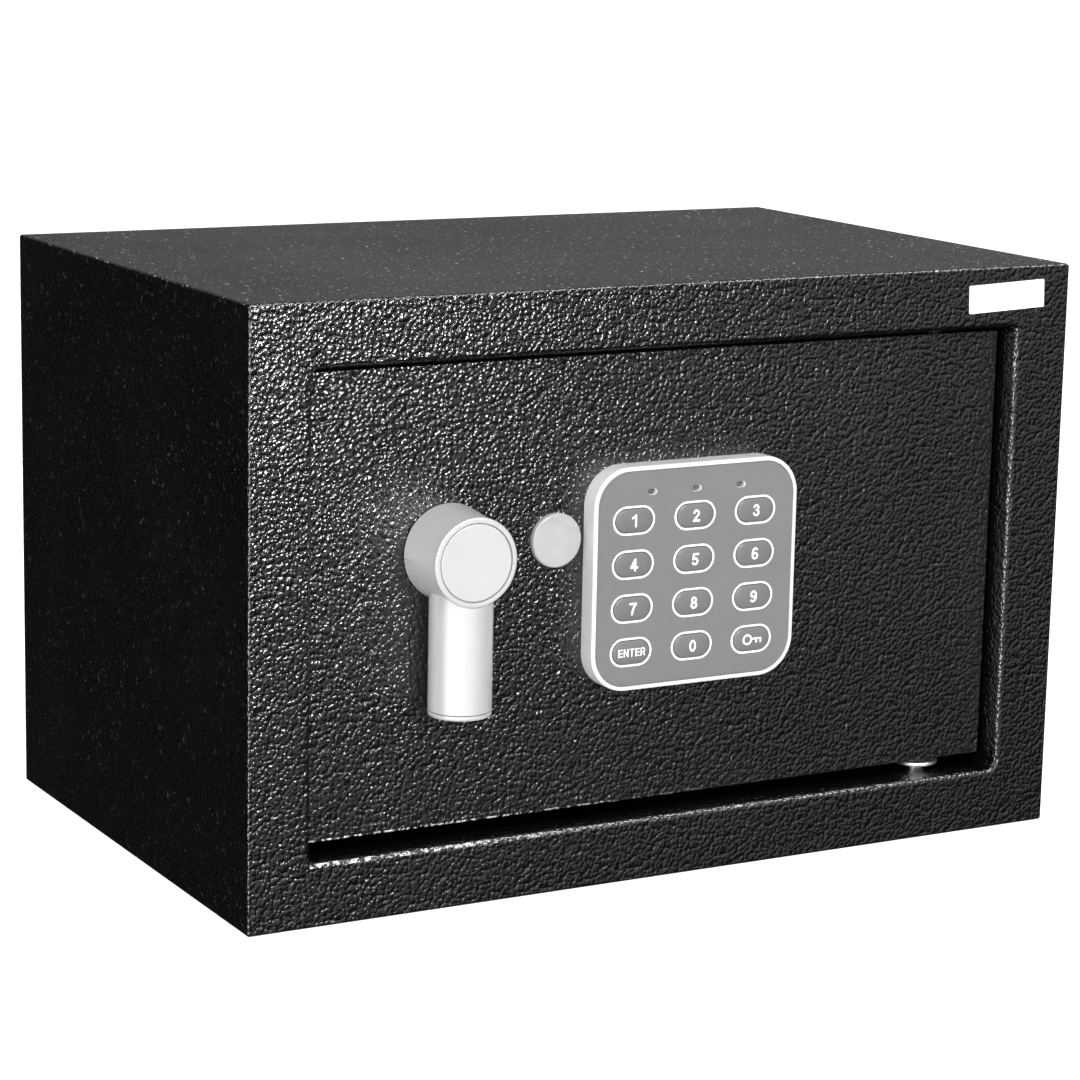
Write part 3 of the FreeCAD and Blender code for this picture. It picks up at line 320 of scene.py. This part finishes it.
def sleeve(name):
    """Plain dark blue sleeve of a cell."""
    mat, t, b = new_material(name)
    cloud = noise(t, place(t), 120.0, 2.0)
    t.links.new(ramp(t, cloud, [(0.3, (0.016, 0.030, 0.075)), (0.7, (0.022, 0.040, 0.095))]),
                b.inputs["Base Color"])
    b.inputs["Roughness"].default_value = 0.28
    b.inputs["Coat Weight"].default_value = 0.6
    t.links.new(bump(t, noise(t, place(t), 600.0, 2.0), 0.00001, 0.4), b.inputs["Normal"])
    return mat


def circuit(name):
    """Green circuit board with fine paler tracks."""
    mat, t, b = new_material(name)
    bricks = add(t, "ShaderNodeTexBrick",
                 {"Vector": place(t), "Scale": 160.0, "Color1": (0.012, 0.10, 0.03, 1),
                  "Color2": (0.016, 0.13, 0.04, 1), "Mortar": (0.03, 0.20, 0.07, 1),
                  "Mortar Size": 0.03})
    t.links.new(bricks.outputs["Color"], b.inputs["Base Color"])
    b.inputs["Roughness"].default_value = 0.35
    return mat


# Pale lines on the door's lower edge and on the lower lip of the frame: partly chipped coat, partly painted
# highlight, brightest at the left.
WEAR_AND_GLINT = (
    (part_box("door_plate")[0].z, 0.0008, -0.0905, -0.131, 0.02, 0.95),
    (0.0203, 0.0006, -0.0990, -0.1335, -0.02, 0.95),
)

M = {
    "black_coat": powder_coat("black_coat_mat", 0.0012, 0.24, 0.0015, 0.25, dust=0.9),
    "black_coat_front": powder_coat("black_coat_front_mat", 0.00155, 0.32, 0.002, 0.14, 0.85,
                                    wear_and_glint=WEAR_AND_GLINT),
    "carpet": needle_felt("carpet_mat_felt"),
    "print_white": print_ink("print_white_mat"),
    "plated_steel": plated("plated_steel_mat", (0.60, 0.60, 0.58), 0.30),
    "hinge_chrome": plated("hinge_chrome_mat", (0.85, 0.85, 0.86), 0.20),
    "nylon": moulded("nylon_mat", (0.78, 0.77, 0.72), 0.5),
    "silver_plastic": silver_paint("silver_plastic_mat", 0.68, 0.36, 0.25),
    "keypad_grey": brushed_grey("keypad_grey_mat", 0.19),
    "led_clear": clear_lens("led_clear_mat"),
    "rubber_grey": moulded("rubber_grey_mat", (0.20, 0.20, 0.20), 0.7),
    "circuit_green": circuit("circuit_green_mat"),
    "handle_silver": silver_paint("handle_silver_mat", 0.66, 0.34),
    "handle_silver_cap": silver_paint("handle_silver_cap_mat", 0.56, 0.30, 0.4),
    "coil_tape": moulded("coil_tape_mat", (0.60, 0.36, 0.03), 0.4, 0.3),
    "lock_brass": plated("lock_brass_mat", (0.72, 0.62, 0.40), 0.25),
    "cover_silver": moulded("cover_silver_mat", (0.33, 0.33, 0.34), 0.25, 1.0, 0.000002),
    "black_plastic": moulded("black_plastic_mat", (0.022, 0.022, 0.023), 0.42, 0.0, 0.00004, 1500.0),
    "cell_wrap": sleeve("cell_wrap_mat"),
    "red_plastic": moulded("red_plastic_mat", (0.55, 0.02, 0.012), 0.3, 0.6),
    "wire_insulation": moulded("wire_insulation_mat", (0.45, 0.04, 0.03), 0.45, 0.2),
    "key_grey": brushed_grey("key_grey_mat", 0.17, 0.34),
}

# Pale grey for the painted highlight on the indicator windows.
M["led_rim"] = brushed_grey("led_window_highlight_mat", 0.55, 0.3)


def shade_above(mat, split_z, paint):
    """Darken the part of a material above split_z to the colour paint, as painted shade."""
    t = mat.node_tree
    shader = next(n for n in t.nodes if n.type == "BSDF_PRINCIPLED")
    height = add(t, "ShaderNodeSeparateXYZ", {"Vector": place(t)}).outputs["Z"]
    above = math_node(t, "GREATER_THAN", height, split_z)
    tone = shader.inputs["Base Color"].links[0].from_socket
    tone = add(t, "ShaderNodeMixRGB", {"Fac": above, "Color1": tone, "Color2": paint})
    t.links.new(tone.outputs["Color"], shader.inputs["Base Color"])
    return mat


# The lower hinge washer is bright; the upper one is darkened to near black as painted shade, so that it does
# not show in the dark top gap.
washer_mat = shade_above(plated("hinge_washer_mat", (0.85, 0.85, 0.86), 0.30), 0.1,
                          (0.004, 0.004, 0.004, 1.0))

# Every CAD node takes the material of its slot; the blank label is plain white.
slot_of = {s["node"]: s["material_slot"] for s in frame["record"]["subparts"]}
for name, obj in NODES.items():
    obj.data.materials.clear()
    obj.data.materials.append(M.get(slot_of[name], M["print_white"]))
NODES["hinge_washers"].data.materials[0] = washer_mat


# ------------------------------------------------------------ mesh pieces ---
def link_mesh(name, bm, material, body):
    mesh = bpy.data.meshes.new(name)
    bm.normal_update()
    bm.to_mesh(mesh)
    bm.free()
    obj = bpy.data.objects.new(name, mesh)
    bpy.context.scene.collection.objects.link(obj)
    mesh.materials.append(material)
    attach(obj, body)
    return obj


def skin(bm, rows):
    """Faces between each closed loop of points and the next."""
    for a, b in zip(rows[:-1], rows[1:]):
        for i in range(len(a)):
            j = (i + 1) % len(a)
            bm.faces.new((a[i], b[i], b[j], a[j]))


def pill_loop(xc, zc, w, h, steps=14):
    """Points round a stadium in XZ, longer along X."""
    r = h / 2.0
    d = w / 2.0 - r
    pts = []
    for side, start in ((1, -90), (-1, 90)):
        for i in range(steps + 1):
            a = math.radians(start + 180.0 * i / steps)
            pts.append((xc + side * d + r * math.cos(a), zc + r * math.sin(a)))
    return pts


def outline_ring(name, xc, zc, w, h, band, y_face, lift, material, body):
    """Printed pill outline: a thin raised band with a softly rounded top."""
    bm = bmesh.new()
    rows = []
    edge = band * 0.12
    for inset, up in ((0.0, 0.0), (edge, 1.0), (band - edge, 1.0), (band, 0.0)):
        loop = pill_loop(xc, zc, w - 2 * inset, h - 2 * inset)
        rows.append([bm.verts.new((x, y_face - lift * up, z)) for x, z in loop])
    skin(bm, rows + rows[:1])
    bmesh.ops.recalc_face_normals(bm, faces=bm.faces)
    return link_mesh(name, bm, material, body)


def arc(cx, cy, rx, ry, a0, a1, steps=18):
    """Points along an ellipse from angle a0 to a1 in degrees."""
    out = []
    for i in range(steps + 1):
        a = math.radians(a0 + (a1 - a0) * i / steps)
        out.append((cx + rx * math.cos(a), cy + ry * math.sin(a)))
    return out


# Plain bold characters: half width of the clip box, then the centre lines of the strokes.
# One unit is the height; strokes that run past the box are cut off square.
GLYPHS = {
    "0": (0.34, [arc(0, 0.5, 0.225, 0.405, 0, 360, 40)]),
    "1": (0.30, [[(0.07, -0.3), (0.07, 1.3)], [(0.09, 1.02), (-0.02, 0.84), (-0.24, 0.72)]]),
    "2": (0.34, [arc(0.0, 0.68, 0.215, 0.225, 168, -28) + [(-0.23, 0.08)], [(-0.23, 0.09), (0.5, 0.09)]]),
    "3": (0.34, [arc(-0.01, 0.715, 0.195, 0.19, 165, -75), arc(-0.01, 0.305, 0.225, 0.21, 85, -168)]),
    "4": (0.36, [[(0.10, -0.3), (0.10, 1.3)], [(0.13, 1.02), (-0.27, 0.31)], [(-0.27, 0.30), (0.5, 0.30)]]),
    "5": (0.34, [[(0.5, 0.905), (-0.13, 0.905), (-0.18, 0.50)], arc(-0.01, 0.33, 0.23, 0.235, 128, -148)]),
    "6": (0.34, [arc(0.0, 0.315, 0.22, 0.22, 0, 360, 32), arc(0.04, 0.50, 0.26, 0.405, 52, 190)]),
    "7": (0.33, [[(-0.5, 0.905), (0.5, 0.905)],
                 [(0.25, 0.90), (0.06, 0.60), (-0.06, 0.25), (-0.09, -0.3)]]),
    "8": (0.34, [arc(0, 0.715, 0.185, 0.19, 0, 360, 30), arc(0, 0.30, 0.225, 0.205, 0, 360, 32)]),
    "9": (0.34, [arc(0.0, 0.685, 0.22, 0.22, 0, 360, 32), arc(-0.04, 0.50, 0.26, 0.405, -128, 10)]),
    "E": (0.30, [[(-0.205, -0.3), (-0.205, 1.3)], [(-0.2, 0.09), (0.5, 0.09)], [(-0.2, 0.51), (0.25, 0.51)],
                 [(-0.2, 0.91), (0.5, 0.91)]]),
    "N": (0.345, [[(-0.25, -0.3), (-0.25, 1.3)], [(0.25, -0.3), (0.25, 1.3)],
                  [(-0.26, 1.02), (0.26, -0.02)]]),
    "T": (0.33, [[(0.0, -0.3), (0.0, 1.3)], [(-0.5, 0.91), (0.5, 0.91)]]),
    "R": (0.35, [[(-0.25, -0.3), (-0.25, 1.3)],
                 [(-0.25, 0.91), (0.06, 0.91)] + arc(0.06, 0.70, 0.20, 0.21, 90, -90) + [(-0.25, 0.49)],
                 [(0.02, 0.49), (0.30, -0.10)]]),
}


def stroke_field(xs, ys, strokes, half_width, clip):
    """Distance below zero inside the strokes, cut to the clip box (x0, x1, y0, y1)."""
    gx, gy = np.meshgrid(xs, ys, indexing="ij")
    best = np.full(gx.shape, 9.0)
    for line in strokes:
        for (x0, y0), (x1, y1) in zip(line[:-1], line[1:]):
            dx, dy = x1 - x0, y1 - y0
            k = np.clip(((gx - x0) * dx + (gy - y0) * dy) / max(dx * dx + dy * dy, 1e-12), 0, 1)
            best = np.minimum(best, np.hypot(gx - x0 - k * dx, gy - y0 - k * dy))
    field = best - half_width
    for edge in (clip[0] - gx, gx - clip[1], clip[2] - gy, gy - clip[3]):
        field = np.maximum(field, edge)
    return field


def ink(name, parts, xc, zc, scale, y_face, lift, material, body):
    """Printed marks: (strokes, half width, clip, offset) filled by marching squares, then thickened."""
    bm = bmesh.new()
    step = 0.022
    for strokes, half_width, clip, off in parts:
        xs = np.arange(clip[0] - 1.5 * step, clip[1] + 2.5 * step, step)
        ys = np.arange(clip[2] - 1.5 * step, clip[3] + 2.5 * step, step)
        f = stroke_field(xs, ys, strokes, half_width, clip)
        made = {}

        def point(key, x, y):
            if key not in made:
                made[key] = bm.verts.new((xc + (x + off) * scale, y_face, zc + (y - 0.5) * scale))
            return made[key]

        for i in range(len(xs) - 1):
            for j in range(len(ys) - 1):
                ring = [(i, j), (i + 1, j), (i + 1, j + 1), (i, j + 1)]
                inside = [f[a] < 0 for a in ring]
                if not any(inside):
                    continue
                loop = []
                for n in range(4):
                    a, b = ring[n], ring[(n + 1) % 4]
                    if inside[n]:
                        loop.append(point(a, xs[a[0]], ys[a[1]]))
                    if inside[n] != inside[(n + 1) % 4]:
                        k = f[a] / (f[a] - f[b])
                        x = xs[a[0]] + k * (xs[b[0]] - xs[a[0]])
                        y = ys[a[1]] + k * (ys[b[1]] - ys[a[1]])
                        loop.append(point((min(a, b), max(a, b)), x, y))
                if len(loop) > 2:
                    bm.faces.new(loop)
    bmesh.ops.dissolve_limit(bm, angle_limit=0.02, verts=bm.verts, edges=bm.edges)
    grown = bmesh.ops.extrude_face_region(bm, geom=list(bm.faces))
    for v in grown["geom"]:
        if isinstance(v, bmesh.types.BMVert):
            v.co.y -= lift
    bmesh.ops.recalc_face_normals(bm, faces=bm.faces)
    return link_mesh(name, bm, material, body)


def word_parts(text, half_width, gap=0.13):
    """The parts of a centred word for ink()."""
    widths = [GLYPHS[c][0] for c in text]
    total = 2 * sum(widths) + gap * (len(text) - 1)
    at = -total / 2
    out = []
    for c, w in zip(text, widths):
        out.append((GLYPHS[c][1], half_width, (-w, w, 0.0, 1.0), at + w))
        at += 2 * w + gap
    return out


KEYS = {
    "key_1": "1", "key_2": "2", "key_3": "3", "key_4": "4", "key_5": "5", "key_6": "6",
    "key_7": "7", "key_8": "8", "key_9": "9", "key_enter": "ENTER", "key_0": "0", "key_open": None,
}
face_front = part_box("keypad_face")[0].y
RING_W = 15.9 * MM
RING_H = 9.7 * MM
RING_BAND = 0.68 * MM
KEY_W = 13.3 * MM
KEY_H = 7.1 * MM
INK_LIFT = 0.06 * MM
DOME = 0.30 * MM                        # rise of a key's crown
DIGIT_SIZE = 4.2 * MM
WORD_SIZE = 2.75 * MM
DIGIT_WEIGHT = 0.077                    # half the stroke width, over the height
WORD_WEIGHT = 0.064


def key_symbol(name, x, z, y_face, lift, material, body):
    """Plain key outline: a ring bow, a shank and two bits."""
    bm = bmesh.new()
    cx = x - 1.9 * MM
    outer, inner = 1.85 * MM, 1.22 * MM
    steps = 28
    rows = []
    for r, up in ((outer, 0), (outer, 1), (inner, 1), (inner, 0)):
        rows.append([bm.verts.new((cx + r * math.cos(2 * math.pi * i / steps), y_face - lift * up,
                                   z + r * math.sin(2 * math.pi * i / steps))) for i in range(steps)])
    skin(bm, rows + rows[:1])
    bars = (
        (cx + 1.7 * MM, x + 3.6 * MM, z - 0.10 * MM, z + 0.45 * MM),
        (x + 1.4 * MM, x + 1.95 * MM, z - 1.30 * MM, z),
        (x + 3.05 * MM, x + 3.6 * MM, z - 1.30 * MM, z),
    )
    for x0, x1, z0, z1 in bars:
        made = bmesh.ops.create_cube(bm, size=1.0)["verts"]
        for v in made:
            v.co = Vector(((x0 + x1) / 2 + v.co.x * (x1 - x0), y_face - lift * (v.co.y + 0.5),
                           (z0 + z1) / 2 + v.co.z * (z1 - z0)))
    bmesh.ops.recalc_face_normals(bm, faces=bm.faces)
    return link_mesh(name, bm, material, body)


def dome_lift(dx, dz, half_w, half_h):
    """Height of a crowned pill above its flat front, from how far a point is inside its edge."""
    run = max(abs(dx) - (half_w - half_h), 0.0)
    depth = max(half_h - math.hypot(run, dz), 0.0) / half_h
    return DOME * (1.0 - (1.0 - depth) ** 2.4)


def key_crown(name, xc, zc, w, h, y_face, material, body):
    """Crowned front of a key, inside the key's rounded edge."""
    bm = bmesh.new()
    half_w, half_h = w / 2.0, h / 2.0
    rows = []
    for k in range(12):
        inset = half_h * (k / 11.6) ** 1.3
        loop = pill_loop(xc, zc, w - 2 * inset, h - 2 * inset)
        rows.append([bm.verts.new((x, y_face - dome_lift(x - xc, z - zc, half_w, half_h), z))
                     for x, z in loop])
    skin(bm, rows)
    bm.faces.new(rows[-1])
    base = [bm.verts.new((v.co.x, y_face + 0.05 * MM, v.co.z)) for v in rows[0]]
    skin(bm, [base, rows[0]])
    bm.faces.new(base)
    bmesh.ops.recalc_face_normals(bm, faces=bm.faces)
    for f in bm.faces:
        f.smooth = True
    return link_mesh(name, bm, material, body)


def lie_on_crown(obj, xc, zc, half_w, half_h):
    """Move flat print onto a key's crown."""
    for v in obj.data.vertices:
        v.co.y -= dome_lift(v.co.x - xc, v.co.z - zc, half_w, half_h)


for node, text in KEYS.items():
    low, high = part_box(node)
    x = (low.x + high.x) / 2
    z = (low.z + high.z) / 2
    outline_ring("ring_" + node, x, z, RING_W, RING_H, RING_BAND, face_front, INK_LIFT,
                 M["print_white"], "door")
    body = "push_" + node
    key_crown("crown_" + node, x, z, KEY_W, KEY_H, low.y, M["key_grey"], body)
    if text:
        size = DIGIT_SIZE if len(text) == 1 else WORD_SIZE
        weight = DIGIT_WEIGHT if len(text) == 1 else WORD_WEIGHT
        mark = ink("mark_" + node, word_parts(text, weight), x, z, size, low.y, INK_LIFT,
                   M["print_white"], body)
    else:
        mark = key_symbol("mark_" + node, x, z, low.y, INK_LIFT, M["print_white"], body)
    lie_on_crown(mark, x, z, KEY_W / 2, KEY_H / 2)

# Painted highlight: a pale rim round each of the three indicator windows, wider on the right and lower side,
# stands in for the lit wall of each recess.
LENS_W = 3.6 * MM
WINDOWS = 3
EDGE_PROUD = 0.02 * MM
low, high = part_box("led_lenses")
lens_z = (low.z + high.z) / 2
first = low.x + LENS_W / 2
last = high.x - LENS_W / 2
for i in range(WINDOWS):
    x = first + (last - first) * i / (WINDOWS - 1)
    bm = bmesh.new()
    outside = pill_loop(x, lens_z, 3.70 * MM, 2.10 * MM)
    inside = pill_loop(x - 0.30 * MM, lens_z + 0.10 * MM, 3.02 * MM, 1.86 * MM)
    rows = []
    for y, loop in ((low.y - EDGE_PROUD, outside), (face_front - EDGE_PROUD, outside),
                    (face_front - EDGE_PROUD, inside), (low.y - EDGE_PROUD, inside)):
        rows.append([bm.verts.new((px, y, pz)) for px, pz in loop])
    skin(bm, rows + rows[:1])
    bmesh.ops.recalc_face_normals(bm, faces=bm.faces)
    link_mesh("window_" + str(i + 1), bm, M["led_rim"], "door")


# -------------------------------------------------------- floor and light ---
def plane(name, centre, size_x, size_y):
    """Flat piece of the stage."""
    bm = bmesh.new()
    bmesh.ops.create_grid(bm, x_segments=1, y_segments=1, size=0.5)
    mesh = bpy.data.meshes.new(name)
    bm.to_mesh(mesh)
    bm.free()
    obj = bpy.data.objects.new(name, mesh)
    bpy.context.scene.collection.objects.link(obj)
    obj.scale = (size_x, size_y, 1.0)
    obj.location = centre
    return obj


FLOOR_SIZE = 14.0
FLOOR_GAP = 0.0002                      # floor just under the base, so that the two don't flicker
floor = plane("floor", (0, 0, cad_low.z - FLOOR_GAP), FLOOR_SIZE, FLOOR_SIZE)
mat, t, b = new_material("floor_mat")
cloud = noise(t, place(t), 3.0, 2.0)
t.links.new(ramp(t, cloud, [(0.3, grey(0.84)), (0.7, grey(0.87))]), b.inputs["Base Color"])
b.inputs["Roughness"].default_value = 0.9
b.inputs["Specular IOR Level"].default_value = 0.0
b.inputs["Emission Color"].default_value = (1.0, 1.0, 1.0, 1.0)
b.inputs["Emission Strength"].default_value = 0.72
floor.data.materials.append(mat)
floor.visible_glossy = False

# White to the camera. Reflections see a soft panel in front, brightest up and to the left, and a
# dim one behind, brightest to the right.
world = bpy.data.worlds.new("world")
bpy.context.scene.world = world
world.use_nodes = True
wt = world.node_tree
wt.nodes.clear()
out = wt.nodes.new("ShaderNodeOutputWorld")
shown = add(wt, "ShaderNodeBackground", {"Color": (1.0, 1.0, 1.0, 1.0), "Strength": 1.0})
lit = add(wt, "ShaderNodeBackground", {"Strength": 2.0})
coord = wt.nodes.new("ShaderNodeTexCoord")
split = add(wt, "ShaderNodeSeparateXYZ", {"Vector": coord.outputs["Generated"]})
toward = math_node(wt, "ADD", math_node(wt, "MULTIPLY", split.outputs["X"], -0.60),
                   math_node(wt, "MULTIPLY", split.outputs["Z"], 0.80))
toward = math_node(wt, "ADD", math_node(wt, "MULTIPLY", toward, 0.5), 0.5, True)
ahead = ramp(wt, toward, [(0.19, grey(0.01)), (0.232, grey(0.07)), (0.282, grey(0.27)),
                          (0.36, grey(0.30)), (0.55, grey(0.42)), (0.75, grey(0.80))])
right = math_node(wt, "ADD", math_node(wt, "MULTIPLY", split.outputs["X"], 0.5), 0.5, True)
behind = ramp(wt, right, [(0.38, grey(0.0)), (0.72, grey(0.094)), (1.0, grey(0.114))])


def on_side(panel, way):
    """Keep a panel to the half of the world where way times Y is above zero."""
    side = math_node(wt, "ADD", math_node(wt, "MULTIPLY", split.outputs["Y"], 0.5 * way), 0.5, True)
    mask = ramp(wt, side, [(0.50, grey(0.0)), (0.62, grey(1.0))])
    return add(wt, "ShaderNodeMixRGB", {"Fac": 1.0, "Color1": panel, "Color2": mask},
               blend_type="MULTIPLY").outputs["Color"]


glow = add(wt, "ShaderNodeMixRGB", {"Fac": 1.0, "Color1": on_side(ahead, -1), "Color2": on_side(behind, 1)},
           blend_type="ADD")
wt.links.new(glow.outputs["Color"], lit.inputs["Color"])
path = wt.nodes.new("ShaderNodeLightPath")
mix = add(wt, "ShaderNodeMixShader",
          {"Fac": path.outputs["Is Camera Ray"], 1: lit.outputs[0], 2: shown.outputs[0]})
wt.links.new(mix.outputs[0], out.inputs["Surface"])


def area(name, place_at, aim_at, size, power, size_y=None, spread=180.0):
    """Area lamp: square, or size wide and size_y high; spread in degrees."""
    data = bpy.data.lights.new(name, "AREA")
    data.energy = power
    data.size = size
    data.spread = math.radians(spread)
    if size_y:
        data.shape = "RECTANGLE"
        data.size_y = size_y
    obj = bpy.data.objects.new(name, data)
    bpy.context.scene.collection.objects.link(obj)
    obj.location = place_at
    way = Vector(aim_at) - Vector(place_at)
    obj.rotation_mode = "QUATERNION"
    obj.rotation_quaternion = way.to_track_quat("-Z", "Y")
    return obj


KEY_PLACE = (-0.02, -1.05, 0.72)
KEY_AIM = (-0.08, -0.1, 0.14)
key = area("key", KEY_PLACE, KEY_AIM, 0.30, 6.0)
area("left", (-1.25, -0.75, 0.75), (-0.05, -0.1, 0.1), 0.9, 13.0).visible_glossy = False
area("front", (0.35, -1.9, 0.25), (0.0, -0.1, 0.1), 1.2, 4.0).visible_glossy = False
area("top", (0.1, 0.2, 1.7), (0.0, 0.0, 0.0), 1.4, 10.0).visible_glossy = False


def shine_on(name, names, *lamps):
    """Limit lamps to the named objects."""
    group = bpy.data.collections.new(name)
    for item in names:
        group.objects.link(bpy.data.objects[item] if item in bpy.data.objects else NODES[item])
    for lamp in lamps:
        lamp.light_linking.receiver_collection = group


# The coat has lamps of its own, so that it sparkles without burning out the silver parts.
COATED = ("front_frame", "door_plate", "body_shell")
coated_objects = [NODES[n] for n in COATED]
shine_on("uncoated", [o.name for o in bpy.data.objects if o.type == "MESH" and o not in coated_objects],
         key)
shine_on("coated", COATED,
         area("glint", (0.10, -1.0, 0.24), (-0.17, -0.1, 0.21), 0.15, 0.20, None, 30.0),
         area("key_coat", KEY_PLACE, KEY_AIM, 0.30, 0.7),
         area("left_edge", (-0.95, -0.85, -0.05), (0.13, -0.1, -0.05), 0.6, 9.5, 0.48),
         area("top_edge", (0.50, -0.32, 0.98), (0.0, -0.1, 0.15), 0.5, 8.0, 0.5))
shine_on("washers", ("hinge_washers",),
         area("washer_lamp", (0.0, -0.9, 0.12), (0.110, -0.09, 0.024), 1.6, 14.0, 0.12))
